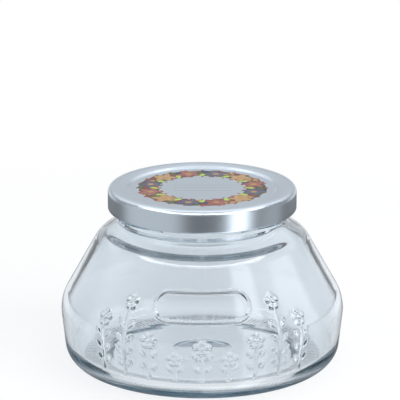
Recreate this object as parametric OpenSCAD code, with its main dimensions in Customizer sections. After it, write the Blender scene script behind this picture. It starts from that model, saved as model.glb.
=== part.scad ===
// Squat glass jam jar with a twist-off metal lid and its moulded sealing ring.
// Millimetres, +Z up, origin at the centre of the ring that the jar stands on.

/* [Jar body] */
// Radius where the wall would meet the table
heel_r = 57.9; // [55:0.1:59.5]
// Rounding between the wall and the base
heel_fillet = 10.4; // [8:0.1:14]
// Radius where the wall would meet the cone
belly_r = 61; // [59.5:0.1:66]
// Height where the wall would meet the cone
belly_z = 28.1; // [24:0.1:33]
// Height of the cone, up to the shoulder
cone_h = 28.9; // [24:0.1:34]
// Width of the shoulder round the neck
shoulder_w = 9.2; // [7:0.1:12]
// Rise of the shoulder towards the neck
shoulder_h = 6.6; // [4:0.1:8]
// Thickness of the glass wall
wall = 3; // [2.4:0.1:3.4]
// Thickness of the glass floor over the standing ring
floor_t = 5; // [4:0.1:7]

/* [Jar base] */
// Width of the flat ring that the jar stands on
stand_w = 6; // [4:0.1:9]
// Depth of the hollow under the base
push_up_h = 1.6; // [0.8:0.1:2.4]
// Height of the small dome in the middle of the floor
dome_h = 1.8; // [0.8:0.1:2.4]
// Radius at the foot of the dome
dome_r = 13; // [10:0.5:18]

/* [Raised flowers] */
// How far the flowers stand out from the wall
relief_h = 0.9; // [0.5:0.05:1]
// Distance between neighbouring stalks
stalk_gap = 11; // [10:0.5:12.5]
// Radius of one petal
petal_r = 1.5; // [1.1:0.1:1.6]
// Length of one leaf
leaf_length = 6; // [4.5:0.1:7]
// Height of the middle of the bare plaque
plaque_z = 41; // [40:0.5:42]
// Half the length of the plaque's straight edges
plaque_half = 15; // [10:0.5:17]
// Radius of the plaque's round ends
plaque_end_r = 6.5; // [5:0.1:7]

/* [Jar mouth] */
// Outer radius of the neck
neck_r = 35.6; // [30:0.1:42]
// Height of the neck from the shoulder to the rim
neck_h = 13.4; // [12.4:0.1:16]
// How far the bead round the neck stands out
bead_proud = 1.3; // [0.8:0.1:1.7]
// Height of the middle of the bead over the shoulder
bead_rise = 2.5; // [2.4:0.1:3.2]
// Height of the bead
bead_h = 2.2; // [1.6:0.1:2.6]
// Rounding of the rim's two edges
rim_fillet = 1; // [0.6:0.1:1.2]

/* [Thread] */
// Number of thread ridges, and of lugs
starts = 6; // [4:1:6]
// Length of one ridge, in degrees of turn
ridge_span = 46; // [36:1:48]
// How far a ridge stands out from the neck
ridge_proud = 1.9; // [1.5:0.1:2]
// Height of a ridge where it joins the neck
ridge_h = 1.3; // [1:0.1:1.5]
// Space over and under a lug
lug_clearance = 0.2; // [0.1:0.05:0.3]

/* [Lid] */
// Space between the thread ridges and the lid's hem
hem_gap = 1.05; // [0.7:0.05:1.6]
// Space between the bead and the lid's lower edge
lid_rise = 1.2; // [0.8:0.1:2]
// Thickness of the sheet metal
sheet = 0.3; // [0.2:0.02:0.36]
// Rounding of the lid's top edge
lid_fillet = 2.2; // [1.8:0.1:3]
// Space between the sunk panel's edge and the glass of the mouth
panel_gap = 0.5; // [0.4:0.05:1.2]
// Depth of the sunk panel
panel_depth = 1; // [0.8:0.1:1.4]
// Width of the slope round the panel
panel_slope = 1.1; // [0.8:0.1:1.3]
// Rounding of the hem at the lid's lower edge
hem_r = 0.85; // [0.75:0.05:0.95]
// Length of one lug, in degrees of turn
lug_span = 11; // [8:1:12]
// Thickness of a lug
lug_t = 0.8; // [0.6:0.05:1]
// How far a lug reaches under its ridge
lug_reach = 1.1; // [0.8:0.1:1.2]

/* [Sealing ring] */
// Thickness of the sealing ring
seal_t = 0.8; // [0.6:0.05:1]
// Space between the sealing ring's edges and the walls of its channel
seal_gap = 0.3; // [0.2:0.05:0.4]

/* [Hidden] */
$fn = 96;

arc_steps = 8;
glass = [0.80, 0.88, 0.93, 0.55];
tinplate = [0.74, 0.76, 0.78];
plastisol = [0.88, 0.88, 0.85];

belly_fillet = 18;
shoulder_fillet = 5;
neck_fillet = 2.5;
floor_fillet = heel_fillet - wall;
dome_fillet = 8;
dome_top_r = dome_r / 3;
dome_top_fillet = dome_fillet / 2;
bead_fillet = 0.7;
panel_fillet = 0.5;

petals = 5;
petal_ring = petal_r * 1.4;
// Glass that is left between a petal's ball and the inside of the wall
ball_clear = 0.4;
boss_r = 1.3;
boss_sink = 0.3;
// Heights of the blossoms, from the middle stalk out to either side
blossom_z = [25, 20, 27, 41, 33];
stalk_foot_z = 11;
stem_w = 1.1;
stem_proud = 0.6;
stem_root = 1;
leaf_r = leaf_length / 5;
leaf_tip_r = 0.2;
leaf_sink = 0.35;
leaf_lean = 38;
// Space between the middle of a stem and the tip of a leaf beside it
leaf_start = 0.7;
leaf_first_z = 13;
leaf_gap = 5.5;
// Bare stem between a blossom's middle and the leaves under it
leaf_clear = 6.5;
edge_r = 0.7;
stud_r = 1.1;
stud_sink = 0.3;
stud_gap = 0.5;

shoulder_r = neck_r + shoulder_w;
shoulder_z = belly_z + cone_h;
neck_z = shoulder_z + shoulder_h;
rim_z = neck_z + neck_h;
bead_r = neck_r + bead_proud;
bead_z = neck_z + bead_rise;
stand_r = heel_r - heel_fillet - stand_w;
bore_r = neck_r - wall;
ridge_r = neck_r + ridge_proud;
ridge_root = 0.4;
crest_share = 0.45;
lug_tip_r = ridge_r - lug_reach;
// Degrees of ridge beyond a lug of the closed lid
lug_margin = 4;
// One turn lifts a lug past as many ridges as there are starts.
lead = starts * (ridge_h + lug_t + 2 * lug_clearance);
helix_angle = atan(lead / (2 * PI * (neck_r + ridge_r) / 2));
// Where the lug stops under its ridge, counted from the middle of the ridge
lug_stop = lug_margin - (ridge_span - lug_span) / 2;

seal_z = rim_z;
lid_top = seal_z + seal_t + sheet;
lid_bottom = bead_z + bead_h / 2 + lid_rise;
lid_r = ridge_r + hem_gap + 2 * hem_r;
panel_r = bore_r - panel_gap - panel_slope;
lug_z = lid_bottom + hem_r - lug_t / 2;
ridge_z = lug_z + lug_t + lug_clearance - lead * lug_stop / 360;

// Outlines are lists of corners, each [radius, height, rounding].
function corner(p) = [p[0], p[1]];
function unit(v) = v / norm(v);
function left_of(v) = [-v[1], v[0]];
function heading(v) = atan2(v[1], v[0]);
function turn(from, to) = let (d = (to - from) % 360) d > 180 ? d - 360 : d < -180 ? d + 360 : d;

// The points that replace a corner p, between its neighbours a and b, by an arc.
function arc_points(a, p, b) =
    let (
        u = unit(corner(a) - corner(p)),
        v = unit(corner(b) - corner(p)),
        half = acos(u * v) / 2,
        centre = corner(p) + unit(u + v) * p[2] / sin(half),
        first = heading(corner(p) + u * p[2] / tan(half) - centre),
        sweep = turn(first, heading(corner(p) + v * p[2] / tan(half) - centre))
    )
    [for (i = [0:arc_steps])
        let (angle = first + sweep * i / arc_steps)
        centre + p[2] * [cos(angle), sin(angle)]];

// A corner list as points, with an arc at each corner that has a rounding.
function rounded(path) =
    [for (i = [0:len(path) - 1])
        each path[i][2] == 0 ? [corner(path[i])] : arc_points(path[i - 1], path[i], path[i + 1])];

// A corner moved to the left of the path by d, with the rounding that keeps the wall even.
function moved_corner(a, p, b, d) =
    let (
        into = unit(corner(p) - corner(a)),
        out = unit(corner(b) - corner(p)),
        n1 = left_of(into),
        n2 = left_of(out),
        at = corner(p) + d * (n1 + n2) / (1 + n1 * n2),
        side = sign(cross(into, out))
    )
    [at[0], at[1], p[2] == 0 ? 0 : max(p[2] - side * d, 0.1)];

// The inside corners of a path moved to the left by d.
function moved(path, d) =
    [for (i = [1:len(path) - 2]) moved_corner(path[i - 1], path[i], path[i + 1], d)];

// A whole path moved to the left by d, with its two ends moved square to it.
function moved_whole(path, d) =
    let (
        last = len(path) - 1,
        head = corner(path[0]) + d * left_of(unit(corner(path[1]) - corner(path[0]))),
        tail = corner(path[last]) + d * left_of(unit(corner(path[last]) - corner(path[last - 1])))
    )
    [[head[0], head[1], 0], each moved(path, d), [tail[0], tail[1], 0]];

function reversed(list) = [for (i = [len(list) - 1:-1:0]) list[i]];

// The outside of the glass from the standing ring up to the neck.
wall_path = [
    [stand_r, 0, 0],
    [heel_r, 0, heel_fillet],
    [belly_r, belly_z, belly_fillet],
    [shoulder_r, shoulder_z, shoulder_fillet],
    [neck_r, neck_z, neck_fillet],
    [neck_r, rim_z, 0]
];

// The inside of the wall, from the belly up, without the rim.
inner_wall = [for (i = [1:3]) moved(wall_path, wall)[i]];

// Where the inside of the wall would come down to the floor.
inner_heel_r =
    let (
        along = unit([belly_r - heel_r, belly_z]),
        foot = [heel_r, 0] + wall * left_of(along)
    )
    foot[0] + along[0] * (floor_t - foot[1]) / along[1];

// The inside of the glass from the middle of the floor up over the rim.
floor_path = [
    [0, floor_t + dome_h, 0],
    [dome_top_r, floor_t + dome_h, dome_top_fillet],
    [dome_r, floor_t, dome_fillet],
    [inner_heel_r, floor_t, floor_fillet],
    each inner_wall,
    [bore_r, rim_z, rim_fillet],
    [neck_r, rim_z, rim_fillet],
    [neck_r, bead_z + bead_h, 0]
];

// The hollow under the base, from its middle out to the standing ring.
under_path = [
    [0, push_up_h + dome_h, 0],
    [dome_top_r, push_up_h + dome_h, dome_top_fillet],
    [dome_r, push_up_h, dome_fillet],
    [stand_r - 2 * push_up_h, push_up_h, push_up_h],
    [stand_r, 0, 0]
];

// The outside of the glass from the heel up to the neck above its bead.
neck_path = [
    each [for (i = [1:4]) wall_path[i]],
    [neck_r, bead_z - bead_h / 2, bead_fillet / 2],
    [bead_r, bead_z - bead_h / 4, bead_fillet],
    [bead_r, bead_z + bead_h / 4, bead_fillet],
    [neck_r, bead_z + bead_h / 2, bead_fillet / 2],
    [neck_r, bead_z + bead_h, 0]
];

module jar_body() {
    outside = rounded([each under_path, each neck_path]);
    inside = rounded(floor_path);
    rotate_extrude() polygon([each outside, each reversed(inside)]);
}

// One arc of a ring that climbs as the thread does, with its middle over +X.
module climbing_arc(span) {
    rotate([helix_angle, 0, 0]) rotate([0, 0, -span / 2]) rotate_extrude(angle = span) children();
}

// A ridge has flat flanks that run on into the neck, so that it crosses the neck's face cleanly.
module thread_ridge() {
    root_r = neck_r - ridge_root;
    crest_h = ridge_h * crest_share;
    rise = (ridge_h - crest_h) / 2 / ridge_proud * (ridge_proud + ridge_root);
    middle = ridge_h / 2;
    climbing_arc(ridge_span)
        polygon([
            [root_r, middle - crest_h / 2 - rise],
            [ridge_r, middle - crest_h / 2],
            [ridge_r, middle + crest_h / 2],
            [root_r, middle + crest_h / 2 + rise]
        ]);
}

// The radius of the outside of the wall at a height
wall_table = [for (p = rounded(wall_path)) [p[1], p[0]]];
function wall_r(z) = lookup(z, wall_table);

// Degrees round the jar for a length measured along the foot of the wall
function round_jar(across) = across / heel_r * 180 / PI;

// Stands something on the front of the wall, with Z out of the glass and Y up along it.
module on_wall(across, up) {
    reach = 0.5;
    lean = atan((wall_r(up + reach) - wall_r(up - reach)) / (2 * reach));
    rotate([0, 0, round_jar(across)]) translate([0, -wall_r(up), up]) rotate([90 + lean, 0, 0]) children();
}

// An arc round the jar's axis with its middle at a place across the front
module front_arc(across, span) {
    rotate([0, 0, round_jar(across) - 90 - span / 2]) rotate_extrude(angle = span) children();
}

// The cap of a ball that is sunk in the glass, turned so that both poles are inside it
module cap(radius, sink) {
    translate([0, 0, -sink]) rotate([90, 0, 0]) sphere(radius);
}

// A petal is a cap whose ball stays within the glass.
module blossom(across, up) {
    wanted_r = (petal_r * petal_r + relief_h * relief_h) / (2 * relief_h);
    ball_r = min(wanted_r, (wall + relief_h - ball_clear) / 2);
    for (i = [0:petals - 1]) {
        way = 90 + 360 / petals * i;
        on_wall(across + petal_ring * cos(way), up + petal_ring * sin(way)) cap(ball_r, ball_r - relief_h);
    }
    on_wall(across, up) cap(boss_r, boss_sink);
}

// A leaf is a pointed spindle, half sunk, that leans away from its stem to one side.
module leaf(across, up, side) {
    middle = leaf_length / 2;
    out = leaf_start + middle;
    on_wall(across + side * out * sin(leaf_lean), up + out * cos(leaf_lean))
        translate([0, 0, -leaf_sink]) rotate([-90, 0, -side * leaf_lean])
            for (end = [0, 1])
                mirror([0, 0, end]) cylinder(h = middle, r1 = leaf_r, r2 = leaf_tip_r);
}

module stem(across, top) {
    between = [for (p = wall_table) if (p[0] > stalk_foot_z && p[0] < top) p[0]];
    heights = [stalk_foot_z, each between, top];
    outside = [for (z = heights) [wall_r(z) + stem_proud, z]];
    inside = [for (z = reversed(heights)) [wall_r(z) - stem_root, z]];
    front_arc(across, round_jar(stem_w)) polygon([each outside, each inside]);
}

// A leaf pair stands at each step up the stem, as far as the blossom leaves room.
module leaves(across, top) {
    for (z = [leaf_first_z:leaf_gap:top - leaf_clear], side = [-1, 1])
        leaf(across, z, side);
}

// The plaque's edge is a half-sunk rod with a stud where its round ends begin.
module plaque() {
    cone_lean = atan((belly_r - shoulder_r) / cone_h);
    edge_span = 2 * round_jar(plaque_half - stud_gap);
    trim = asin(stud_gap / plaque_end_r);
    for (side = [-1, 1]) {
        edge_z = plaque_z + side * plaque_end_r * cos(cone_lean);
        front_arc(0, edge_span) translate([wall_r(edge_z), edge_z]) circle(edge_r, $fn = 24);
        on_wall(side * plaque_half, plaque_z) rotate([0, 0, trim - side * 90])
            rotate_extrude(angle = 180 - 2 * trim) translate([plaque_end_r, 0]) circle(edge_r, $fn = 24);
        for (end = [-1, 1])
            on_wall(end * plaque_half, edge_z) cap(stud_r, stud_sink);
    }
}

// The stalks are counted from the middle one out to either side.
outer_stalk = len(blossom_z) - 1;
stalks = [-outer_stalk:outer_stalk];

// Each kind of raised piece joins the glass before the next kind meets it.
module with_stems() {
    children();
    for (i = stalks)
        stem(i * stalk_gap, blossom_z[abs(i)]);
}

module with_blossoms() {
    children();
    for (i = stalks)
        blossom(i * stalk_gap, blossom_z[abs(i)]);
}

module with_leaves() {
    children();
    for (i = stalks)
        leaves(i * stalk_gap, blossom_z[abs(i)]);
}

module jar() {
    color(glass) union() {
        with_stems() with_leaves() with_blossoms() jar_body();
        plaque();
        for (i = [0:starts - 1])
            rotate([0, 0, 360 / starts * i]) translate([0, 0, ridge_z]) thread_ridge();
    }
}

// The sheet from the middle of the panel out, over the edge, down the skirt and round the hem.
lid_path = [
    [0, lid_top - panel_depth, 0],
    [panel_r, lid_top - panel_depth, panel_fillet],
    [panel_r + panel_slope, lid_top, panel_fillet + sheet],
    [lid_r, lid_top, lid_fillet],
    [lid_r, lid_bottom, hem_r],
    [lid_r - 2 * hem_r, lid_bottom, hem_r],
    [lid_r - 2 * hem_r, lid_bottom + 2 * hem_r, 0]
];

// A lug is a bar with a round tip that runs into the hem.
module lid_lug() {
    climbing_arc(lug_span)
        union() {
            translate([lug_tip_r + lug_t / 2, 0])
                square([lid_r - hem_r - lug_tip_r - lug_t / 2, lug_t]);
            translate([lug_tip_r + lug_t / 2, lug_t / 2]) circle(lug_t / 2, $fn = 24);
        }
}

module lid() {
    color(tinplate) union() {
        rotate_extrude()
            polygon([each rounded(lid_path), each reversed(rounded(moved_whole(lid_path, -sheet)))]);
        for (i = [0:starts - 1])
            rotate([0, 0, 360 / starts * i + lug_stop]) translate([0, 0, lug_z]) lid_lug();
    }
}

// The inside of the lid's channel, which the sealing ring lies in.
channel_in = panel_r + panel_slope + panel_fillet + sheet;
channel_out = lid_r - lid_fillet;

module sealing_ring() {
    width = channel_out - channel_in - 2 * seal_gap;
    color(plastisol) rotate_extrude()
        translate([channel_in + seal_gap, seal_z]) square([width, seal_t]);
}

jar();
lid();
sealing_ring();
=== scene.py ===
"""A squat glass jam jar with a twist-off lid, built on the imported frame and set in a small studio."""

import math

import bpy
import numpy as np
from bpy.props import FloatProperty, FloatVectorProperty, IntProperty, PointerProperty
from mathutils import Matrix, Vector


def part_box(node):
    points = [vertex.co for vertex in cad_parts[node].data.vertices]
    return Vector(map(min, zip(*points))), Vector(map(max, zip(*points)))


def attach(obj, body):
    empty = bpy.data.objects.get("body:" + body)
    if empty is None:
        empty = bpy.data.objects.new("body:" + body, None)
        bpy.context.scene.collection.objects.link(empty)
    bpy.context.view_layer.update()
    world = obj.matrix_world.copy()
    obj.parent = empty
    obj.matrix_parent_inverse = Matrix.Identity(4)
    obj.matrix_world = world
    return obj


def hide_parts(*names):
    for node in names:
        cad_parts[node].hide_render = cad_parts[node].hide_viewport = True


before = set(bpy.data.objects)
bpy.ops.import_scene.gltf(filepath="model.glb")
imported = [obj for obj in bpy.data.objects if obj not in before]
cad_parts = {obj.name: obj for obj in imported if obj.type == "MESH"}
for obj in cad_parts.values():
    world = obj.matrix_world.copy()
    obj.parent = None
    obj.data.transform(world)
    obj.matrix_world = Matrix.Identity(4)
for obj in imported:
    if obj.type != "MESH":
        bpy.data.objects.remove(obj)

bl_info = {
    "name": "Jam jar",
    "version": (1, 0, 0),
    "blender": (4, 5, 0),
    "location": "View3D > Sidebar > Jam jar",
    "description": "Models a glass jam jar with a printed twist-off lid and lights it for a picture",
    "category": "Add Mesh",
}

JAR_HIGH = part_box("jar")[1]
LID_LOW, LID_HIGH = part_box("lid")
SEAL_LOW, SEAL_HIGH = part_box("sealing_ring")
MM = 0.001
FRAME_PX = 400
SENSOR_MM = 36.0

# Fineness of the meshes: steps round the axis, and the longest steps along an outline
JAR_STEPS = 208
LID_STEPS = 288
SEAL_STEPS = 192
THREAD_SPACING = 0.5 * MM
RELIEF_SPACING = 1.5 * MM
SHOULDER_SPACING = 0.4 * MM
PLAIN_SPACING = 4 * MM
LID_SPACING = 2 * MM
FRONT_CUTS = 3

# Degrees between the points of an arc, for roundings over each size, and on a true arc
ARC_STEPS = ((7 * MM, 2.2), (1.8 * MM, 6), (0, 14))
TRUE_ARC_STEP = 0.2

# Smallest rounding of a moved corner, and how near to each other points are merged
LEAST_ROUNDING = 0.1 * MM
MERGE_DISTANCE = 0.002 * MM

# How deep balls and leaves are sunk in the glass, and the groove along a leaf
SINK = 0.3 * MM
GROOVE = 0.25 * MM

# Bounces of light through the glass and off it, and the table's side in metres
GLASS_BOUNCES = 40
MIRROR_BOUNCES = 32
TABLE_SIDE = 12

# Colours of small detail
WHITE = (1, 1, 1)
SHADOW_GLASS = (0.95, 0.96, 0.97)
PRINT_OUTLINE = (0.03, 0.022, 0.02)
PETAL_PALE = (0.95, 0.82, 0.66)
PETAL_DARK = (0.03, 0.02, 0.02)
METAL_SHADE = (0.57, 0.63, 0.68)
RULE_GREY = (0.20, 0.21, 0.23)
SEAL_SHADE = (0.70, 0.69, 0.65)


def length(label, text, default):
    """A size in metres that a user may change."""
    return FloatProperty(name=label, description=text, default=default, unit="LENGTH", precision=5)


def colour(label, text, default):
    """A colour that a user may change."""
    return FloatVectorProperty(
        name=label, description=text, default=default, subtype="COLOR", min=0, max=1, size=3
    )


def amount(label, text, default):
    """A plain number that a user may change."""
    return FloatProperty(name=label, description=text, default=default)


# Sizes and colours

class JarGlass(bpy.types.PropertyGroup):
    """The glass body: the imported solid's sizes, with a softer shoulder edge and extra glass inside it."""

    heel_radius: length("Heel radius", "Where the wall would meet the table", 57.9 * MM)
    heel_rounding: length("Heel rounding", "Between the wall and the base", 10.4 * MM)
    belly_radius: length("Belly radius", "Where the wall would meet the cone", 61 * MM)
    belly_height: length("Belly height", "Where the wall would meet the cone", 28.1 * MM)
    belly_rounding: length("Belly rounding", "Between the wall and the cone", 18 * MM)
    shoulder_radius: length("Shoulder radius", "Where the cone would meet the shoulder", 44.8 * MM)
    shoulder_height: length("Shoulder height", "Where the cone would meet the shoulder", 57 * MM)
    shoulder_rounding: length("Shoulder rounding", "Between the cone and the shoulder", 9 * MM)
    neck_radius: length("Neck radius", "Outside of the neck", 35.6 * MM)
    neck_foot: length("Neck foot", "Height where the shoulder would meet the neck", 63.6 * MM)
    neck_rounding: length("Neck rounding", "Between the shoulder and the neck", 2.5 * MM)
    wall: length("Wall", "Thickness of the glass", 3 * MM)
    floor: length("Floor", "Thickness of the base", 5 * MM)
    stand_width: length("Standing ring", "Width of the flat ring under the jar", 6 * MM)
    push_up: length("Push-up", "Depth of the hollow under the base", 1.6 * MM)
    dome_height: length("Dome height", "Of the small dome in the middle of the floor", 1.8 * MM)
    dome_radius: length("Dome radius", "At the foot of the dome", 13 * MM)
    bead_height: length("Bead height", "Of the ring round the neck", 2.2 * MM)
    bead_rise: length("Bead rise", "From the neck's foot to the bead's middle", 2.5 * MM)
    bead_proud: length("Bead depth", "How far the bead stands out", 1.3 * MM)
    neck_extra: length("Neck extra", "Glass added inside the shoulder near the neck", 1.7 * MM)
    rim_rounding: length("Rim rounding", "Of the two edges of the rim", 1 * MM)
    tint: colour("Tint", "Colour that thick glass takes on", (0.76, 0.84, 0.88))
    tint_depth: amount("Tint depth", "How strongly the glass colours light, per metre", 32.0)
    clear: colour("Clear glass", "Colour of one thin wall", (0.885, 0.92, 0.95))


class NeckThread(bpy.types.PropertyGroup):
    """The ridges on the neck and the lugs that run under them."""

    starts: IntProperty(name="Ridges", description="Number of ridges, and of lugs", default=6)
    lead: length("Lead", "Rise of the lid in one full turn", 15 * MM)
    ridge_span: amount("Ridge span", "Length of one ridge in degrees", 46.0)
    ridge_proud: length("Ridge depth", "How far a ridge stands out from the neck", 1.9 * MM)
    ridge_height: length("Ridge height", "Where it joins the neck", 1.3 * MM)
    lug_span: amount("Lug span", "Length of one lug in degrees", 11.0)
    lug_margin: amount("Lug margin", "Degrees of ridge beyond a lug of the closed lid", 4.0)
    lug_thickness: length("Lug thickness", "Height of a lug", 0.8 * MM)
    lug_reach: length("Lug reach", "How far a lug reaches under its ridge", 1.1 * MM)
    lug_clearance: length("Lug clearance", "Space over and under a lug", 0.2 * MM)


class RaisedFlowers(bpy.types.PropertyGroup):
    """The flowers and the bare plaque pressed into the front of the glass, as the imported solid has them."""

    height: length("Height", "How far the flowers stand out", 0.9 * MM)
    stalk_gap: length("Stalk gap", "Between neighbouring stalks, along the foot of the wall", 11 * MM)
    stalk_foot: length("Stalk foot", "Height where the stalks begin", 11 * MM)
    blossom_heights: FloatVectorProperty(
        name="Blossom heights",
        description="From the middle stalk out to either side",
        default=[z * MM for z in (25, 20, 27, 41, 33)],
        size=5,
        unit="LENGTH",
    )
    petal_radius: length("Petal radius", "Of one round petal", 1.5 * MM)
    boss_radius: length("Boss radius", "Of the ball in a blossom's middle", 1.3 * MM)
    stem_width: length("Stem width", "Across a stem", 1.1 * MM)
    stem_proud: length("Stem depth", "How far a stem stands out", 0.6 * MM)
    leaf_length: length("Leaf length", "Of one leaf", 6 * MM)
    leaf_start: length("Leaf start", "From the middle of a stem to a leaf's tip", 0.7 * MM)
    leaf_lean: amount("Leaf lean", "Of a leaf away from its stem, in degrees", 38.0)
    leaf_first: length("First leaves", "Height of the lowest pair of leaves", 13 * MM)
    leaf_gap: length("Leaf gap", "Between pairs of leaves", 5.5 * MM)
    leaf_clear: length("Leaf clear", "Bare stem under a blossom's middle", 6.5 * MM)
    plaque_height: length("Plaque height", "Height of the plaque's middle", 41 * MM)
    plaque_half: length("Plaque half length", "Of its straight edges", 15 * MM)
    plaque_end: length("Plaque end radius", "Of its round ends", 6.5 * MM)
    plaque_edge: length("Plaque edge", "Radius of the rod round the plaque", 0.7 * MM)
    stud_radius: length("Stud radius", "Of the balls where the plaque's round ends begin", 1.1 * MM)


class LidMetal(bpy.types.PropertyGroup):
    """The sheet-metal lid and its print."""

    sheet: length("Sheet", "Thickness of the metal", 0.3 * MM)
    edge_rounding: length("Edge rounding", "Of the top edge", 2.2 * MM)
    panel_radius: length("Panel radius", "Of the sunk panel", 31 * MM)
    panel_depth: length("Panel depth", "Of the sunk panel", 1 * MM)
    panel_slope: length("Panel slope", "Width of the slope round the panel", 1.1 * MM)
    panel_rounding: length("Panel rounding", "At the foot of the slope", 0.5 * MM)
    crown: length("Crown", "Rise of the rim's middle over its edges", 0.3 * MM)
    hem_radius: length("Hem radius", "Of the rolled lower edge", 0.85 * MM)
    metal: colour("Metal", "Lacquered tinplate", (0.71, 0.78, 0.84))
    print_radius: length("Print radius", "Middle of the ring of blossoms", 22.7 * MM)
    print_count: IntProperty(name="Blossoms", description="Number of blossoms in the ring", default=12)
    print_blossom: length("Printed blossom", "From the middle to a petal's tip", 5.6 * MM)
    russet: colour("Russet", "First blossom colour", (0.24, 0.045, 0.035))
    ochre: colour("Ochre", "Second blossom colour", (0.42, 0.24, 0.09))
    navy: colour("Navy", "Third blossom colour", (0.025, 0.032, 0.10))
    lime: colour("Lime", "Bright leaves", (0.40, 0.55, 0.10))
    pine: colour("Pine", "Dark leaves", (0.08, 0.12, 0.045))
    print_inner: length("Print inner edge", "Radius where the foliage begins", 17.2 * MM)
    print_outer: length("Print outer edge", "Radius where the foliage ends", 28.6 * MM)


class SealCompound(bpy.types.PropertyGroup):
    """The sealing ring under the lid."""

    rounding: length("Rounding", "Of the ring's lower edges", 0.3 * MM)
    pale: colour("Compound", "Sealing compound", (0.78, 0.77, 0.73))


class Studio(bpy.types.PropertyGroup):
    """Camera, floor and lights."""

    elevation: amount("Elevation", "Of the camera over the jar, in degrees", 17.6)
    distance: length("Distance", "From the camera to the jar's middle", 1.4)
    aim_height: length("Aim height", "Height on the axis that the picture is measured at", 34 * MM)
    aim_x: amount("Aim x", "Pixel column of that point", 202.3)
    aim_y: amount("Aim y", "Pixel row of that point", 284.3)
    scale: amount("Scale", "Pixels to a millimetre at the jar's middle", 2.3264)
    room: colour("Room", "Colour of the light from all round", (0.93, 0.96, 1.0))
    room_light: amount("Room light", "Strength of the light from all round", 0.46)
    key_light: amount("Key light", "Power of the right softbox in watts", 5.0)
    fill_light: amount("Fill light", "Power of the left softbox in watts", 3.0)
    top_light: amount("Top light", "Power of the overhead softbox in watts", 3.6)
    floor: colour("Floor", "Colour of the table", (0.93, 0.93, 0.93))


# Outlines, as lists of corners (radius, height, rounding)

def arc_step(rounding):
    """Angle between neighbouring points on an arc, wider on a small one."""
    return math.radians(next(step for size, step in ARC_STEPS if rounding > size))


def rounded(path, step_for=arc_step):
    """The points of a corner list, with an arc in steps of step_for(rounding) at each rounded corner."""
    points = []
    for i, (r, z, rounding) in enumerate(path):
        here = Vector((r, z))
        if rounding == 0:
            points.append(here)
            continue
        back = (Vector(path[i - 1][:2]) - here).normalized()
        ahead = (Vector(path[i + 1][:2]) - here).normalized()
        half = back.angle(ahead) / 2
        centre = here + (back + ahead).normalized() * rounding / math.sin(half)
        first = here + back * rounding / math.tan(half) - centre
        last = here + ahead * rounding / math.tan(half) - centre
        start = math.atan2(first.y, first.x)
        sweep = (math.atan2(last.y, last.x) - start + math.pi) % math.tau - math.pi
        steps = max(2, math.ceil(abs(sweep) / step_for(rounding)))
        for k in range(steps + 1):
            angle = start + sweep * k / steps
            points.append(centre + rounding * Vector((math.cos(angle), math.sin(angle))))
    return points


def moved_corner(before, here, after, d):
    """A corner moved to the left of its path by d, with the rounding that keeps the wall even."""
    into = (Vector(here[:2]) - Vector(before[:2])).normalized()
    out = (Vector(after[:2]) - Vector(here[:2])).normalized()
    n1 = Vector((-into.y, into.x))
    n2 = Vector((-out.y, out.x))
    at = Vector(here[:2]) + d * (n1 + n2) / (1 + n1.dot(n2))
    side = math.copysign(1, into.x * out.y - into.y * out.x)
    return (at.x, at.y, max(here[2] - side * d, LEAST_ROUNDING) if here[2] else 0)


def moved(path, d):
    """The inside corners of a path moved to the left by d."""
    return [moved_corner(path[i - 1], path[i], path[i + 1], d) for i in range(1, len(path) - 1)]


def filled_in(points, spacing):
    """The points with more between them, so that no step is longer than spacing(point) says."""
    chain = [points[0]]
    for a, b in zip(points, points[1:]):
        step = spacing((a + b) / 2)
        parts = max(1, math.ceil((b - a).length / step))
        chain.extend(a + (b - a) * k / parts for k in range(1, parts + 1))
    return chain


# Meshes

def start_piece():
    """Leaves edit mode and deselects everything, so that an operator touches only the new piece."""
    if bpy.context.object and bpy.context.object.mode != "OBJECT":
        bpy.ops.object.mode_set(mode="OBJECT")
    bpy.ops.object.select_all(action="DESELECT")


def outline(name, points, closed, turn):
    """A circle of vertices pulled onto an outline that stands upright at an angle round the axis."""
    start_piece()
    bpy.ops.mesh.primitive_circle_add(vertices=len(points), radius=1, fill_type="NOTHING")
    piece = bpy.context.object
    piece.name = name
    piece.data.name = name
    places = [(p.x * math.cos(turn), p.x * math.sin(turn), p.y) for p in points]
    piece.data.vertices.foreach_set("co", np.array(places).ravel())
    if not closed:
        ends = {0, len(points) - 1}
        for edge in piece.data.edges:
            edge.select = set(edge.vertices) == ends
        for vertex in piece.data.vertices:
            vertex.select = False
        bpy.ops.object.mode_set(mode="EDIT")
        bpy.ops.mesh.select_mode(type="EDGE")
        bpy.ops.mesh.delete(type="EDGE")
        bpy.ops.object.mode_set(mode="OBJECT")
    return piece


def turned_round(piece, steps):
    """Turns an outline once round the axis and closes its seam and its poles."""
    bpy.ops.object.modifier_add(type="SCREW")
    screw = piece.modifiers[-1]
    screw.axis = "Z"
    screw.angle = math.tau
    screw.steps = steps
    screw.render_steps = steps
    bpy.ops.object.modifier_apply(modifier=screw.name)
    bpy.ops.object.mode_set(mode="EDIT")
    bpy.ops.mesh.select_mode(type="VERT")
    bpy.ops.mesh.select_all(action="SELECT")
    bpy.ops.mesh.remove_doubles(threshold=MERGE_DISTANCE)
    bpy.ops.mesh.normals_make_consistent(inside=False)
    bpy.ops.object.mode_set(mode="OBJECT")
    bpy.ops.object.shade_smooth()


def rows(parts, what):
    """One vector for each of a mesh's vertices or faces, as rows."""
    values = np.empty(len(parts) * 3)
    parts.foreach_get(what, values)
    return values.reshape(-1, 3)


def polar(places):
    """Distances from the axis, and angles round it."""
    return np.hypot(places[:, 0], places[:, 1]), np.arctan2(places[:, 1], places[:, 0])


def place_vertices(piece, places):
    """Puts a piece's vertices at these places."""
    piece.data.vertices.foreach_set("co", places.ravel())
    piece.data.update()


def faces_outward(places, normals):
    """Whether each place faces away from the axis."""
    return normals[:, 0] * places[:, 0] + normals[:, 1] * places[:, 1] > 0


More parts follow.
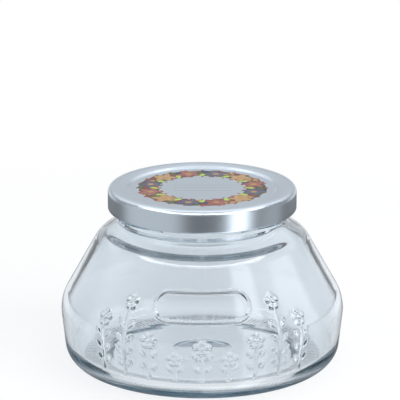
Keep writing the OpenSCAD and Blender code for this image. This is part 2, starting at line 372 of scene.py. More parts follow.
def eased(value, low, high):
    """0 below low, 1 above high, and a smooth step between."""
    t = np.clip((value - low) / (high - low), 0, 1)
    return t * t * (3 - 2 * t)


def turned_from(azimuth, middle):
    """Angles counted from a middle one, between half a turn back and half a turn on."""
    return (azimuth - middle + math.pi) % math.tau - math.pi


# The raised flowers on the glass

def ball_height(distance, radius, sink):
    """Height of a ball whose middle is sunk in the wall, at distances from that middle."""
    return np.sqrt(np.maximum(radius**2 - distance**2, 0)) - sink


def blossom_height(x, y, flowers):
    """Height of five round petals and a boss round the origin."""
    petals = 5
    ball = (flowers.petal_radius**2 + flowers.height**2) / (2 * flowers.height)
    ring = 1.4 * flowers.petal_radius
    height = ball_height(np.hypot(x, y), flowers.boss_radius, SINK)
    for i in range(petals):
        way = math.pi / 2 + math.tau * i / petals
        away = np.hypot(x - ring * math.cos(way), y - ring * math.sin(way))
        height = np.maximum(height, ball_height(away, ball, ball - flowers.height))
    return height


def leaf_height(x, y, flowers, side):
    """Height of a pointed leaf that leans from the origin to one side, with a groove along its middle."""
    lean = math.radians(flowers.leaf_lean)
    half = flowers.leaf_length / 2
    along = side * x * math.sin(lean) + y * math.cos(lean) - flowers.leaf_start - half
    across = x * math.cos(lean) - side * y * math.sin(lean)
    widest = flowers.leaf_length / 5
    width = widest * (1 - np.minimum(np.abs(along) / half, 1) ** 1.5)
    groove = GROOVE * np.exp(-((across / GROOVE) ** 2)) * (width > 2 * GROOVE)
    return np.sqrt(np.maximum(width**2 - across**2, 0)) - SINK - groove


def stalk_height(x, up, top, flowers):
    """Height of a stem with its pairs of leaves and its blossom."""
    half = flowers.stem_width / 2
    on_stem = (up > flowers.stalk_foot) & (up < top)
    stem = flowers.stem_proud * np.sqrt(np.maximum(1 - (x / half) ** 2, 0)) * on_stem
    height = np.maximum(stem, blossom_height(x, up - top, flowers))
    just_fits = 0.001
    room = (top - flowers.leaf_clear - flowers.leaf_first) / flowers.leaf_gap
    for pair in range(int(room + 1 + just_fits)):
        y = up - flowers.leaf_first - pair * flowers.leaf_gap
        for side in (-1, 1):
            height = np.maximum(height, leaf_height(x, y, flowers, side))
    return height


def plaque_height(across, up, flowers, lean):
    """Height of the rod round the plaque, on a cone that leans back."""
    y = (up - flowers.plaque_height) / math.cos(lean)
    beyond = np.maximum(np.abs(across) - flowers.plaque_half, 0)
    off = np.abs(np.hypot(beyond, y) - flowers.plaque_end)
    rod = ball_height(off, flowers.plaque_edge, 0)
    corner = np.hypot(np.abs(across) - flowers.plaque_half, np.abs(y) - flowers.plaque_end)
    return np.maximum(rod, ball_height(corner, flowers.stud_radius, SINK))


def flower_height(across, up, flowers, lean):
    """Height of all the raised work at points across the front and up the wall."""
    height = plaque_height(across, up, flowers, lean)
    outer = len(flowers.blossom_heights) - 1
    for i in range(-outer, outer + 1):
        x = across - i * flowers.stalk_gap
        height = np.maximum(height, stalk_height(x, up, flowers.blossom_heights[abs(i)], flowers))
    return np.maximum(height, 0)


def ridge_depth(azimuth, z, thread, middle_z):
    """How far the thread ridges stand out from the neck at these points."""
    depth = np.zeros_like(z)
    half = math.radians(thread.ridge_span) / 2
    end_fade = math.radians(3)
    reach = thread.ridge_height * 0.62
    slope = thread.ridge_height * 0.34
    for i in range(thread.starts):
        around = turned_from(azimuth, math.tau * i / thread.starts)
        climb = middle_z + thread.lead * around / math.tau
        profile = eased(reach - np.abs(z - climb), 0, slope)
        ends = eased(half - np.abs(around), 0, end_fade)
        depth = np.maximum(depth, profile * ends * thread.ridge_proud)
    return depth


# Shader sums

class Value:
    """A socket in a material, on which Python's operators add Math nodes."""

    def __init__(self, recipe, socket):
        self.recipe = recipe
        self.socket = socket

    def _math(self, operation, first, second=0.0):
        return self.recipe.node("ShaderNodeMath", {"operation": operation}, {0: first, 1: second})["Value"]

    def __add__(self, other):
        return self._math("ADD", self, other)

    __radd__ = __add__

    def __sub__(self, other):
        return self._math("SUBTRACT", self, other)

    def __rsub__(self, other):
        return self._math("SUBTRACT", other, self)

    def __mul__(self, other):
        return self._math("MULTIPLY", self, other)

    __rmul__ = __mul__

    def __truediv__(self, other):
        return self._math("DIVIDE", self, other)

    def __abs__(self):
        return self._math("ABSOLUTE", self)

    def cos(self):
        return self._math("COSINE", self)

    def floor(self):
        return self._math("FLOOR", self)

    def fraction(self):
        return self._math("FRACT", self)

    def wrapped(self, count):
        return self._math("FLOORED_MODULO", self, count)

    def greatest(self, other):
        return self._math("MAXIMUM", self, other)

    def length_with(self, other):
        return (self * self + other * other)._root()

    def _root(self):
        return self._math("SQRT", self)

    def angle_over(self, other):
        return self._math("ARCTAN2", self, other)

    def step(self, low, high):
        """0 below low, 1 above high, and a smooth step between."""
        settings = {"interpolation_type": "SMOOTHSTEP", "clamp": True}
        return self.recipe.node("ShaderNodeMapRange", settings, {"Value": self, 1: low, 2: high})["Result"]


class Outputs:
    """A node's outputs by name."""

    def __init__(self, recipe, node):
        self.recipe = recipe
        self.made = node

    def __getitem__(self, name):
        return Value(self.recipe, self.made.outputs[name])


class Recipe:
    """A material's or a world's nodes, made from an empty tree."""

    def __init__(self, owner):
        owner.use_nodes = True
        self.tree = owner.node_tree
        self.tree.nodes.clear()

    def node(self, kind, settings=None, inputs=None):
        """Adds a node, sets it up, then fills or links its sockets."""
        made = self.tree.nodes.new(kind)
        for key, value in (settings or {}).items():
            setattr(made, key, value)
        for key, value in (inputs or {}).items():
            if isinstance(value, Value):
                self.tree.links.new(value.socket, made.inputs[key])
            else:
                made.inputs[key].default_value = value
        return Outputs(self, made)

    def mixed(self, factor, first, second):
        """A colour between two others."""
        inputs = {"Factor": factor, 6: opaque(first), 7: opaque(second)}
        return Value(self, self.node("ShaderNodeMix", {"data_type": "RGBA"}, inputs).made.outputs[2])

    def place(self, kind="Object"):
        """A point of the piece, or with Generated a direction in the room."""
        return self.node("ShaderNodeTexCoord")[kind]

    def parts(self, vector):
        """The x, y and z of a vector."""
        made = self.node("ShaderNodeSeparateXYZ", None, {"Vector": vector})
        return made["X"], made["Y"], made["Z"]

    def noise(self, where, scale, detail=2.0):
        """Cloudy grey between 0 and 1."""
        inputs = {"Vector": where, "Scale": scale, "Detail": detail}
        return self.node("ShaderNodeTexNoise", None, inputs)["Fac"]

    def bump(self, strength, distance, height):
        """A normal that small heights tilt."""
        inputs = {"Strength": strength, "Distance": distance, "Height": height}
        return self.node("ShaderNodeBump", None, inputs)["Normal"]

    def principled(self, inputs):
        """The main shader of a finish."""
        return self.node("ShaderNodeBsdfPrincipled", None, inputs)["BSDF"]

    def mixed_shader(self, factor, first, second):
        """A shader between two others."""
        return self.node("ShaderNodeMixShader", None, {0: factor, 1: first, 2: second})["Shader"]

    def surface(self, shader, volume=None):
        """Links the finished shaders to the material's output."""
        inputs = {"Surface": shader}
        if volume:
            inputs["Volume"] = volume
        self.node("ShaderNodeOutputMaterial", None, inputs)


def opaque(rgb):
    """A colour with full alpha, or a link as it is."""
    return rgb if isinstance(rgb, Value) else (*rgb, 1)


def stand_radius(jar):
    """Inner radius of the standing ring."""
    return jar.heel_radius - jar.heel_rounding - jar.stand_width


def glass_finish(jar):
    """Pressed glass: clear, faintly wavy, and blue-grey where it is thick."""
    material = bpy.data.materials.new("jar_glass")
    recipe = Recipe(material)
    knurls = 150
    here = recipe.place()
    x, y, z = recipe.parts(here)
    waves = recipe.noise(here, 55.0)
    past_stand = x.length_with(y) - stand_radius(jar)
    under = (0.8 * MM - z).step(0, 0.6 * MM) * past_stand.step(0, 0.4 * MM)
    knurl = (y.angle_over(x) * knurls).cos() * under
    relief = waves * 0.25 + knurl * 0.25
    glass = recipe.principled(
        {
            "Base Color": opaque(jar.clear),
            "Roughness": under * 0.4,
            "IOR": 1.5,
            "Transmission Weight": 1.0,
            "Normal": recipe.bump(0.35, 0.6 * MM, relief),
        }
    )
    clear = recipe.node("ShaderNodeBsdfTransparent", None, {"Color": opaque(SHADOW_GLASS)})
    path = recipe.node("ShaderNodeLightPath")
    lamps = path["Is Shadow Ray"].greatest(path["Is Diffuse Ray"])
    mix = recipe.mixed_shader(lamps, glass, clear["BSDF"])
    depth = {"Color": opaque(jar.tint), "Density": jar.tint_depth}
    tint = recipe.node("ShaderNodeVolumeAbsorption", None, depth)
    recipe.surface(mix, tint["Volume"])
    return material


def print_masks(x, y, lid):
    """Masks of the print: petals, their insides, hearts, bright leaves, berries, and blossom numbers."""
    radius = x.length_with(y)
    out = radius - lid.print_radius
    count = lid.print_count
    turn = y.angle_over(x) * (count / math.tau)
    pitch = math.tau * lid.print_radius / count
    size = lid.print_blossom
    edge_soft = 0.18 * MM
    petal_count = 5
    notch = 0.2
    rim_width = 0.5 * MM
    heart_radius = 0.26 * size
    leaf_in = 2.2 * MM
    leaf_tilt = -0.55
    berry_radius = 0.8 * MM
    berry_off = 4.9 * MM

    number = turn.floor()
    along = (turn.fraction() - 0.5) * pitch
    away = along.length_with(out)
    petal_edge = ((out.angle_over(along) * petal_count).cos() * notch + (1 - notch)) * size
    petals = (petal_edge - away).step(0, edge_soft)
    rims = (petal_edge - away - rim_width).step(0, edge_soft)
    hearts = (heart_radius - away).step(0, edge_soft)

    between = ((turn + 0.5).fraction() - 0.5) * pitch
    bright = leaf_mask(between, out + leaf_in, leaf_tilt, edge_soft)

    berry_turn = y.angle_over(x) * (2 * count / math.tau) + 0.5
    berry_along = (berry_turn.fraction() - 0.5) * (pitch / 2)
    berry_away = berry_along.length_with(abs(out) - berry_off)
    berries = (berry_radius - berry_away).step(0, edge_soft)
    return petals, rims, hearts, bright, berries, number


def foliage(recipe, here, radius, lid):
    """Mask and colour of a dense ring of small leaves and berries with dark outlines."""
    ragged = recipe.noise(here, 380.0) * (2.6 * MM)
    soft = 0.2 * MM
    within = (lid.print_outer - ragged - radius).step(0, soft)
    ring = within * (radius - lid.print_inner - ragged).step(0, soft)
    cells = {"Vector": here, "Scale": 290.0, "Randomness": 0.85}
    flat = {"voronoi_dimensions": "2D"}
    kind = recipe.node("ShaderNodeTexVoronoi", flat, cells)["Color"]
    pick = recipe.node("ShaderNodeSeparateColor", None, {"Color": kind})["Red"]
    edge = recipe.node("ShaderNodeTexVoronoi", {**flat, "feature": "DISTANCE_TO_EDGE"}, cells)["Distance"]
    tone = lid.pine
    for share, ink in ((0.3, lid.russet), (0.58, lid.navy), (0.76, lid.ochre)):
        tone = recipe.mixed(pick.step(share, share + 0.01), tone, ink)
    return ring, recipe.mixed((0.12 - edge).step(0, 0.08), tone, PRINT_OUTLINE)


def leaf_mask(across, up, tilt, soft):
    """A pointed leaf shape round the origin, turned by tilt."""
    long = 2.9 * MM
    wide = 1.35 * MM
    u = up * math.cos(tilt) + across * math.sin(tilt)
    v = across * math.cos(tilt) - up * math.sin(tilt)
    half = (1 - (u / long) * (u / long)) * wide
    return (half - abs(v)).step(0, soft)


def lid_finish(lid):
    """Satin tinplate with a printed ring of blossoms and leaves round a ruled, plain middle."""
    material = bpy.data.materials.new("lid_tinplate")
    recipe = Recipe(material)
    here = recipe.place()
    x, y, z = recipe.parts(here)
    stretched = {"Vector": here, "Scale": (60, 2600, 2600)}
    grain = recipe.noise(recipe.node("ShaderNodeMapping", None, stretched)["Vector"], 1.0)
    cloud = recipe.noise(here, 140.0, 4.0)
    petals, rims, hearts, bright, berries, number = print_masks(x, y, lid)
    leaves, leaf_tone = foliage(recipe, here, x.length_with(y), lid)

    kind = number.wrapped(3.0)
    flower = lid.navy
    for place, ink in enumerate((lid.russet, lid.ochre)):
        flower = recipe.mixed((0.5 - abs(kind - place)).step(0, 0.1), flower, ink)
    pale = recipe.mixed(0.16, flower, PETAL_PALE)
    dark = recipe.mixed(0.55, flower, PETAL_DARK)
    flower = recipe.mixed(rims, dark, recipe.mixed(cloud, flower, pale))
    flower = recipe.mixed(hearts, flower, lid.ochre)

    top = (z - (LID_HIGH[2] - lid.panel_depth - 0.2 * MM)).step(0, 0.05 * MM)
    rule_gap = 4.4 * MM
    rule_half_width = 0.2 * MM
    rule_half_length = 12.5 * MM
    rules_reach = 6.5 * MM
    off_rule = abs((y / rule_gap + 0.5).fraction() - 0.5) * rule_gap
    rule = (rule_half_width - off_rule).step(0, 0.1 * MM)
    rule = rule * (rule_half_length - abs(x)).step(0, 0.2 * MM) * (rules_reach - abs(y)).step(0, 0.1 * MM)

    metal = recipe.mixed(cloud * 0.25, lid.metal, METAL_SHADE)
    paint = recipe.mixed(rule * 0.5, metal, RULE_GREY)
    for mask, ink in ((leaves, leaf_tone), (bright, lid.lime), (petals, flower), (berries, lid.russet)):
        paint = recipe.mixed(mask, paint, ink)
    inked = leaves.greatest(bright).greatest(petals).greatest(berries) * top
    skin = recipe.mixed(top, metal, paint)

    height = grain * 0.6 + cloud * 0.4
    shader = recipe.principled(
        {
            "Base Color": skin,
            "Metallic": 1 - inked * 0.8,
            "Roughness": 0.27 + grain * 0.08 + inked * 0.08,
            "Normal": recipe.bump(0.12, 0.05 * MM, height),
        }
    )
    recipe.surface(shader)
    return material


def seal_finish(seal):
    """Soft, slightly uneven sealing compound."""
    material = bpy.data.materials.new("seal_compound")
    recipe = Recipe(material)
    here = recipe.place()
    cloud = recipe.noise(here, 220.0, 4.0)
    ripple = recipe.noise(here, 900.0)
    shader = recipe.principled(
        {
            "Base Color": recipe.mixed(cloud, seal.pale, SEAL_SHADE),
            "Roughness": 0.42 + cloud * 0.15,
            "Normal": recipe.bump(0.3, 0.05 * MM, ripple),
        }
    )
    recipe.surface(shader)
    return material


# Operators

class JAMJAR_OT_press_jar(bpy.types.Operator):
    """Turn the glass jar, raise its thread and its flowers, and give it its glass"""

    bl_idname = "jamjar.press_jar"
    bl_label = "Press jar"

    def execute(self, context):
        jar = context.scene.jar_glass
        thread = context.scene.neck_thread
        flowers = context.scene.raised_flowers
        piece = outline("jar_glass", self.profile(jar, flowers), False, math.radians(90))
        turned_round(piece, JAR_STEPS)
        self.thicken_shoulder(piece, jar)
        self.refine_front(piece, jar, flowers)
        self.raise_relief(piece, jar, thread, flowers)
        piece.data.materials.append(glass_finish(jar))
        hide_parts("jar")
        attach(piece, "jar")
        return {"FINISHED"}

    @staticmethod
    def walls(jar):
        """The corners of the outside from the standing ring up to the rim."""
        return [
            (stand_radius(jar), 0, 0),
            (jar.heel_radius, 0, jar.heel_rounding),
            (jar.belly_radius, jar.belly_height, jar.belly_rounding),
            (jar.shoulder_radius, jar.shoulder_height, jar.shoulder_rounding),
            (jar.neck_radius, jar.neck_foot, jar.neck_rounding),
            (jar.neck_radius, JAR_HIGH[2], 0),
        ]

    @staticmethod
    def relief_zone(flowers):
        """The heights between which the flowers and the plaque stand out."""
        top = flowers.plaque_height + flowers.plaque_end + 2 * flowers.plaque_edge
        return flowers.stalk_foot - 1 * MM, top

    @staticmethod
    def profile(jar, flowers):
        """The whole outline, from the middle of the hollow under the base to the middle of the floor."""
        rim = JAR_HIGH[2]
        stand = stand_radius(jar)
        stand_rounding = 0.4 * MM
        dome_top = jar.dome_radius / 3
        dome_rounding = 8 * MM
        bead_low = jar.neck_foot + jar.bead_rise - jar.bead_height / 2
        bead_high = bead_low + jar.bead_height
        bead_out = jar.neck_radius + jar.bead_proud
        bead_rounding = 0.7 * MM
        walls = JAMJAR_OT_press_jar.walls(jar)
        under = [
            (0, jar.push_up + jar.dome_height, 0),
            (dome_top, jar.push_up + jar.dome_height, dome_rounding / 2),
            (jar.dome_radius, jar.push_up, dome_rounding),
            (stand - 2 * jar.push_up, jar.push_up, jar.push_up),
            (stand, 0, stand_rounding),
        ]
        neck = [
            (jar.neck_radius, bead_low, bead_rounding / 2),
            (bead_out, bead_low + jar.bead_height / 4, bead_rounding),
            (bead_out, bead_high - jar.bead_height / 4, bead_rounding),
            (jar.neck_radius, bead_high, bead_rounding / 2),
            (jar.neck_radius, rim, jar.rim_rounding),
        ]
        inner = moved(walls, jar.wall)
        lean = (inner[1][0] - inner[0][0]) / (inner[1][1] - inner[0][1])
        floor_radius = inner[0][0] + lean * (jar.floor - inner[0][1])
        inside = [
            (jar.neck_radius - jar.wall, rim, jar.rim_rounding),
            inner[3],
            inner[2],
            inner[1],
            (floor_radius, jar.floor, jar.heel_rounding - jar.wall),
            (jar.dome_radius, jar.floor, dome_rounding),
            (dome_top, jar.floor + jar.dome_height, dome_rounding / 2),
            (0, jar.floor + jar.dome_height, 0),
        ]
        points = rounded(under + walls[1:5] + neck + inside)
        rim_point = max(range(len(points)), key=lambda i: points[i].y)
        low, high = JAMJAR_OT_press_jar.relief_zone(flowers)

        def spacing(point):
            if point.y > bead_high:
                return THREAD_SPACING
            if low < point.y < high:
                return RELIEF_SPACING
            return PLAIN_SPACING

        def inner_spacing(point):
            on_shoulder = jar.neck_radius < point.x < jar.shoulder_radius - 2 * MM
            return SHOULDER_SPACING if on_shoulder and point.y > jar.belly_height else PLAIN_SPACING

        outside = filled_in(points[: rim_point + 1], spacing)
        return outside + filled_in(points[rim_point:], inner_spacing)[1:]

    @staticmethod
    def thicken_shoulder(piece, jar):
        """Sinks the inside of the shoulder near the neck, most at the front, as uneven glass does."""
        places = rows(piece.data.vertices, "co")
        normals = rows(piece.data.vertices, "normal")
        radius, azimuth = polar(places)
        low = jar.shoulder_height - 2 * jar.wall
        edge = jar.shoulder_radius - 3.8 * MM
        slope = 3.6 * MM
        thickest = math.radians(-98)
        full_to = math.radians(40)
        none_from = math.radians(85)
        facing_down = normals[:, 2] < -0.2
        hollow = facing_down & (places[:, 2] > low) & (radius < jar.shoulder_radius)
        step = eased(edge - radius, 0, slope)
        fade_in = eased(radius, jar.neck_radius - jar.wall, jar.neck_radius)
        front = 1 - eased(np.abs(turned_from(azimuth, thickest)), full_to, none_from)
        depth = jar.neck_extra * step * fade_in * front * hollow
        place_vertices(piece, places + normals * depth[:, None])

    @staticmethod
    def refine_front(piece, jar, flowers):
        """Cuts the front of the outer wall finer where the flowers are, and lays it on the true arcs."""
        low, high = JAMJAR_OT_press_jar.relief_zone(flowers)
        outer = (len(flowers.blossom_heights) - 1) * flowers.stalk_gap + flowers.leaf_length
        mesh = piece.data
        middles = rows(mesh.polygons, "center")
        azimuth = polar(middles)[1]
        z = middles[:, 2]
        outward = faces_outward(middles, rows(mesh.polygons, "normal"))
        front = np.abs(turned_from(azimuth, -math.pi / 2)) * jar.heel_radius < outer
        mesh.vertices.foreach_set("select", np.zeros(len(mesh.vertices), dtype=bool))
        mesh.edges.foreach_set("select", np.zeros(len(mesh.edges), dtype=bool))
        mesh.polygons.foreach_set("select", outward & front & (z > low) & (z < high))
        bpy.context.tool_settings.mesh_select_mode = (False, False, True)
        bpy.ops.object.mode_set(mode="EDIT")
        bpy.ops.mesh.subdivide(number_cuts=FRONT_CUTS)
        bpy.ops.object.mode_set(mode="OBJECT")
        bpy.ops.object.shade_smooth()

        places = rows(piece.data.vertices, "co")
        radius = polar(places)[0]
        fine = rounded(JAMJAR_OT_press_jar.walls(jar), lambda rounding: math.radians(TRUE_ARC_STEP))
        wall = [p for p in fine if p.y < jar.neck_foot]
        true_radius = np.interp(places[:, 2], [p.y for p in wall], [p.x for p in wall])
        on_wall = (places[:, 2] > low) & (places[:, 2] < high) & (radius > true_radius - jar.wall / 2)
        stretch = np.where(on_wall, true_radius / np.maximum(radius, 1 * MM), 1)
        places[:, :2] *= stretch[:, None]
        place_vertices(piece, places)

    @staticmethod
    def raise_relief(piece, jar, thread, flowers):
        """Moves the outer vertices out by the height of the thread and of the raised flowers."""
        places = rows(piece.data.vertices, "co")
        normals = rows(piece.data.vertices, "normal")
        radius, azimuth = polar(places)
        outward = faces_outward(places, normals)
        across = turned_from(azimuth, -math.pi / 2) * jar.heel_radius
        wall_zone = outward & (radius > jar.shoulder_radius) & (places[:, 2] > jar.floor)
        rise = jar.shoulder_height - jar.belly_height
        lean = math.atan((jar.belly_radius - jar.shoulder_radius) / rise)
        height = np.where(wall_zone, flower_height(across, places[:, 2], flowers, lean), 0)
        places = places + normals * height[:, None]

        near = 0.1 * MM
        neck_zone = outward & (radius < jar.neck_radius + near) & (radius > jar.neck_radius - near)
        depth = np.where(neck_zone, ridge_depth(azimuth, places[:, 2], thread, ridge_middle(thread)), 0)
        places[:, 0] += np.cos(azimuth) * depth
        places[:, 1] += np.sin(azimuth) * depth
        place_vertices(piece, places)


def lug_turn(thread):
    """Angle of the first lug of the closed lid, from the middle of its ridge."""
    return math.radians(thread.lug_margin - (thread.ridge_span - thread.lug_span) / 2)


def lug_middle():
    """Height of the middle of a lug of the closed lid."""
    return LID_LOW[2] + bpy.context.scene.lid_metal.hem_radius


def ridge_middle(thread):
    """Height of the middle of a ridge, half way along it."""
    over_lug = (thread.lug_thickness + thread.ridge_height) / 2 + thread.lug_clearance
    return lug_middle() + over_lug - thread.lead * lug_turn(thread) / math.tau


class JAMJAR_OT_draw_lid(bpy.types.Operator):
    """Turn the sheet-metal lid, press its lugs in from the hem and print it"""

    bl_idname = "jamjar.draw_lid"
    bl_label = "Draw lid"

    def execute(self, context):
        lid = context.scene.lid_metal
        thread = context.scene.neck_thread
        piece = outline("lid_metal", self.profile(lid), False, math.radians(-90))
        turned_round(piece, LID_STEPS)
        self.press_lugs(piece, lid, thread, context.scene.jar_glass)
        piece.data.materials.append(lid_finish(lid))
        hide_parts("lid")
        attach(piece, "lid")
        return {"FINISHED"}

    @staticmethod
    def profile(lid):
        """The sheet from the middle of the panel over the edge to the hem, and back along its inside."""
        top = LID_HIGH[2]
        bottom = LID_LOW[2]
        out = LID_HIGH[0]
        hem = lid.hem_radius
        crown_rounding = 14 * MM
        skin = [
            (0, top - lid.panel_depth, 0),
            (lid.panel_radius, top - lid.panel_depth, lid.panel_rounding),
            (lid.panel_radius + lid.panel_slope, top - lid.crown, lid.panel_rounding + lid.sheet),
            ((lid.panel_radius + lid.panel_slope + out) / 2, top, crown_rounding),
            (out, top - lid.crown, lid.edge_rounding),
            (out, bottom, hem),
            (out - 2 * hem, bottom, hem),
            (out - 2 * hem, bottom + 2 * hem, 0),
        ]
        lining = moved(skin, -lid.sheet)
        inside = [(0, skin[0][1] - lid.sheet, 0), *lining, (skin[-1][0] + lid.sheet, skin[-1][1], 0)]
        points = rounded(skin) + rounded(inside)[::-1]
        return filled_in(points, lambda point: LID_SPACING)

    @staticmethod
    def press_lugs(piece, lid, thread, jar):
        """Pulls stretches of the hem's inner leg in to the lugs' tips and flattens them."""
        places = rows(piece.data.vertices, "co")
        radius, azimuth = polar(places)
        out = LID_HIGH[0]
        leg = out - 2 * lid.hem_radius
        tip = jar.neck_radius + thread.ridge_proud - thread.lug_reach
        hem_top = LID_LOW[2] + 2.2 * lid.hem_radius
        low = places[:, 2] < hem_top
        weight = eased(out - lid.hem_radius - radius, 0, lid.hem_radius - lid.sheet) * low
        half = math.radians(thread.lug_span) / 2
        half_with_fade = half + math.radians(0.6)
        fade = math.radians(1.6)
        middle = lug_middle()
        shrink = thread.lug_thickness / (2 * lid.hem_radius)
        for i in range(thread.starts):
            around = turned_from(azimuth, math.tau * i / thread.starts + lug_turn(thread))
            pull = weight * eased(half_with_fade - np.abs(around), 0, fade)
            climb = thread.lead * around / math.tau
            flat = middle + climb + (places[:, 2] - middle) * shrink
            radius = radius - pull * (leg - tip)
            places[:, 2] += pull * (flat - places[:, 2])
        places[:, 0] = np.cos(azimuth) * radius
        places[:, 1] = np.sin(azimuth) * radius
        place_vertices(piece, places)


class JAMJAR_OT_pour_seal(bpy.types.Operator):
    """Turn the sealing ring that lies in the lid's channel"""

    bl_idname = "jamjar.pour_seal"
    bl_label = "Pour seal"

    def execute(self, context):
        seal = context.scene.seal_compound
        inner = SEAL_HIGH[0] - self.width(context)
        corners = [
            (inner, SEAL_HIGH[2], 0),
            (inner, SEAL_LOW[2], seal.rounding),
            (SEAL_HIGH[0], SEAL_LOW[2], seal.rounding),
            (SEAL_HIGH[0], SEAL_HIGH[2], 0),
        ]
        piece = outline("seal_ring", rounded(corners), True, math.radians(-90))
        turned_round(piece, SEAL_STEPS)
        piece.data.materials.append(seal_finish(seal))
        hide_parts("sealing_ring")
        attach(piece, "seal")
        return {"FINISHED"}

    @staticmethod
    def width(context):
        """Width of the ring, from the lid's channel less a gap at each side."""
        lid = context.scene.lid_metal
        gap = 0.3 * MM
        channel_in = lid.panel_radius + lid.panel_slope + lid.panel_rounding + lid.sheet
        channel_out = LID_HIGH[0] - lid.edge_rounding
        return channel_out - channel_in - 2 * gap


class JAMJAR_OT_set_studio(bpy.types.Operator):
    """Lay the floor, place the camera and light the jar"""

    bl_idname = "jamjar.set_studio"
    bl_label = "Set studio"

    def execute(self, context):
        studio = context.scene.studio
        self.add_camera(context, studio)
        self.add_floor(studio)
        self.add_lamps(studio)
        self.light_room(context, studio)
        context.scene.view_settings.view_transform = "Standard"
        context.scene.cycles.max_bounces = GLASS_BOUNCES
        context.scene.cycles.transmission_bounces = GLASS_BOUNCES
        context.scene.cycles.glossy_bounces = MIRROR_BOUNCES
        return {"FINISHED"}

    @staticmethod
    def add_camera(context, studio):
        """A long lens, aimed so that the jar falls where the picture has it."""
        focal_px = studio.scale * studio.distance / MM
        tilt = math.radians(studio.elevation)
        start_piece()
        place = (0, -studio.distance * math.cos(tilt), studio.aim_height + studio.distance * math.sin(tilt))
        pitch = tilt - math.atan((studio.aim_y - FRAME_PX / 2) / focal_px)
        turn = math.atan((studio.aim_x - FRAME_PX / 2) / focal_px)
        bpy.ops.object.camera_add(location=place, rotation=(math.pi / 2 - pitch, 0, turn))
        camera = bpy.context.object
        camera.data.lens = SENSOR_MM * focal_px / FRAME_PX
        camera.data.sensor_width = SENSOR_MM
        camera.data.clip_start = 0.01
        context.scene.camera = camera

    @staticmethod
    def add_floor(studio):
        """A wide pale table."""
        start_piece()
        bpy.ops.mesh.primitive_plane_add(size=TABLE_SIDE)
        floor = bpy.context.object
        floor.name = "table"
        material = bpy.data.materials.new("table_white")
        recipe = Recipe(material)
        x, y = recipe.parts(recipe.place())[:2]
        lit = recipe.node("ShaderNodeBsdfDiffuse", None, {"Color": opaque(studio.floor)})
        path = recipe.node("ShaderNodeLightPath")
        radius = x.length_with(y)
        # Zones of the table, in metres from the jar's axis
        far = radius.step(0.12, 0.4)
        beyond = radius.step(0.28, 0.42)
        near = (0.1 - radius).step(0, 0.04)
        # A painted shadow of the jar: a strip behind it where the table's glow is dimmed for the glass
        painted_jar_shadow = (0.05 - abs(x + 0.008)).step(0, 0.04) * y.step(0.06, 0.1)
        # The camera sees white with the jar's shadow; the glass sees a painted pale glow near the jar in a
        # painted dark surround, with a painted shadow of the jar in a strip behind it
        direct = path["Is Camera Ray"]
        seen = 0.3 + near * 0.55 + beyond * 0.7
        share = direct * (0.6 + far * 0.4) + path["Is Transmission Ray"] * seen
        level = direct + (1 - direct) * (1 - beyond * 0.97) * (1 - painted_jar_shadow * 0.6)
        white = recipe.node("ShaderNodeEmission", None, {"Color": opaque(WHITE), "Strength": level})
        recipe.surface(recipe.mixed_shader(share, lit["BSDF"], white["Emission"]))
        floor.data.materials.append(material)
        floor.visible_glossy = False

    @staticmethod
    def add_lamps(studio):
        """Three softboxes, which light the jar but leave the reflections to the room."""
        aim = Vector((0, 0, studio.aim_height))
        # Name, watts, degrees round from the front, degrees up, distance and side in metres
        lamps = (
            ("key_softbox", studio.key_light, 50, 35, 0.9, 0.7),
            ("fill_softbox", studio.fill_light, -60, 25, 0.9, 0.9),
            ("top_softbox", studio.top_light, 150, 70, 0.9, 1.0),
        )
        for name, watts, azimuth, elevation, distance, size in lamps:
            start_piece()
            a = math.radians(azimuth)
            e = math.radians(elevation)
            way = Vector((math.sin(a) * math.cos(e), -math.cos(a) * math.cos(e), math.sin(e)))
            rotation = way.to_track_quat("Z", "Y").to_euler()
            bpy.ops.object.light_add(type="AREA", location=aim + way * distance, rotation=rotation)
            lamp = bpy.context.object
            lamp.name = name
            lamp.data.energy = watts
            lamp.data.size = size
            lamp.visible_glossy = False
            lamp.visible_transmission = False
            lamp.visible_camera = False

    @staticmethod
    def light_room(context, studio):
        """White behind the jar, even light on it, and softboxes between grey walls for its reflections."""
        world = bpy.data.worlds.new("studio_room")
        context.scene.world = world
        recipe = Recipe(world)
        x, y, z = recipe.parts(recipe.place("Generated"))
        degrees = 180 / math.pi
        azimuth = x.angle_over(0 - y) * degrees
        elevation = z.angle_over(x.length_with(y)) * degrees

        def box(value, low, high, soft):
            return (value - (low - soft / 2)).step(0, soft) * ((high + soft / 2) - value).step(0, soft)

        # Patches of the room, each as low, high and softness in degrees from the front and from level
        right = box(azimuth, 34, 58, 8) * box(elevation, -60, 48, 8)
        left = box(azimuth, -108, -24, 16) * box(elevation, -60, 40, 12)
        side = box(azimuth, 80, 112, 8) * box(elevation, -60, 30, 12)
        front = box(azimuth, -28, 17, 6) * box(elevation, 2, 40, 8)
        low_right = box(azimuth, 0, 110, 20) * box(elevation, -88, -46, 8)
        back_wall = (abs(azimuth) - 115).step(0, 20)
        back = back_wall * (elevation + 2).step(0, 10)
        skirting = back_wall * box(elevation, -12, 6, 8)
        cornice = back_wall * (elevation - 22).step(0, 6)
        above = box(elevation, 53, 62, 14)
        ring = box(elevation, 50, 57, 3) * (110 - abs(azimuth)).step(0, 10)
        behind = (abs(azimuth) - 110).step(0, 20) * (40 - elevation).step(0, 10)

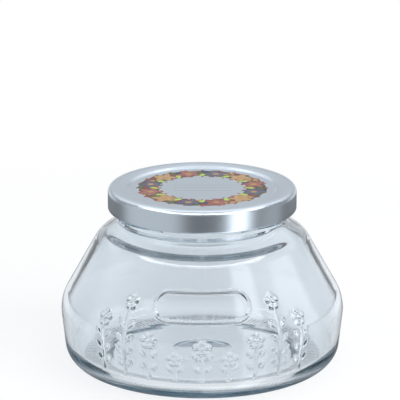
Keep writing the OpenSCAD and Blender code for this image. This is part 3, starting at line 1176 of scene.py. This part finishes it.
        # Their strengths where glass and metal mirror the room, and where the glass bends it
        walls = right * 2.0 + left * 0.5 + side * 0.3 + back * 0.32 + skirting * 0.7 + cornice * 0.55
        mirrored = 0.18 + walls + above * 1.2 + ring * 9 + low_right * 2 + front * 0.1
        bent = 0.14 + right * 2.4 + side * 2.2 + left * 0.1 + behind * 0.4 + ring * 6
        path = recipe.node("ShaderNodeLightPath")
        through = path["Is Transmission Ray"]
        room = path["Is Glossy Ray"].greatest(through)
        white = path["Is Camera Ray"]
        level = through * bent + (1 - through) * mirrored
        strength = white + (1 - white) * (room * level + (1 - room) * studio.room_light)
        tone = recipe.mixed(white, studio.room, WHITE)
        sky = recipe.node("ShaderNodeBackground", None, {"Color": tone, "Strength": strength})
        recipe.node("ShaderNodeOutputWorld", None, {"Surface": sky["Background"]})


class JAMJAR_PT_sidebar(bpy.types.Panel):
    """Lists the jar's pieces and the studio"""

    bl_idname = "JAMJAR_PT_sidebar"
    bl_label = "Jam jar"
    bl_space_type = "VIEW_3D"
    bl_region_type = "UI"
    bl_category = "Jam jar"

    def draw(self, context):
        for maker in MAKERS:
            self.layout.operator(maker.bl_idname)


MAKERS = (JAMJAR_OT_press_jar, JAMJAR_OT_draw_lid, JAMJAR_OT_pour_seal, JAMJAR_OT_set_studio)
GROUPS = {
    "jar_glass": JarGlass,
    "neck_thread": NeckThread,
    "raised_flowers": RaisedFlowers,
    "lid_metal": LidMetal,
    "seal_compound": SealCompound,
    "studio": Studio,
}
CLASSES = (*GROUPS.values(), *MAKERS, JAMJAR_PT_sidebar)


def register():
    """Adds the classes and the scene's settings."""
    for cls in CLASSES:
        bpy.utils.register_class(cls)
    for name, group in GROUPS.items():
        setattr(bpy.types.Scene, name, PointerProperty(type=group))


def unregister():
    """Takes the settings and the classes away again."""
    for name in GROUPS:
        delattr(bpy.types.Scene, name)
    for cls in reversed(CLASSES):
        bpy.utils.unregister_class(cls)


def main():
    """Builds every piece and the studio."""
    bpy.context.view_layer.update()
    register()
    bpy.ops.jamjar.press_jar()
    bpy.ops.jamjar.draw_lid()
    bpy.ops.jamjar.pour_seal()
    bpy.ops.jamjar.set_studio()


if __name__ == "__main__":
    main()
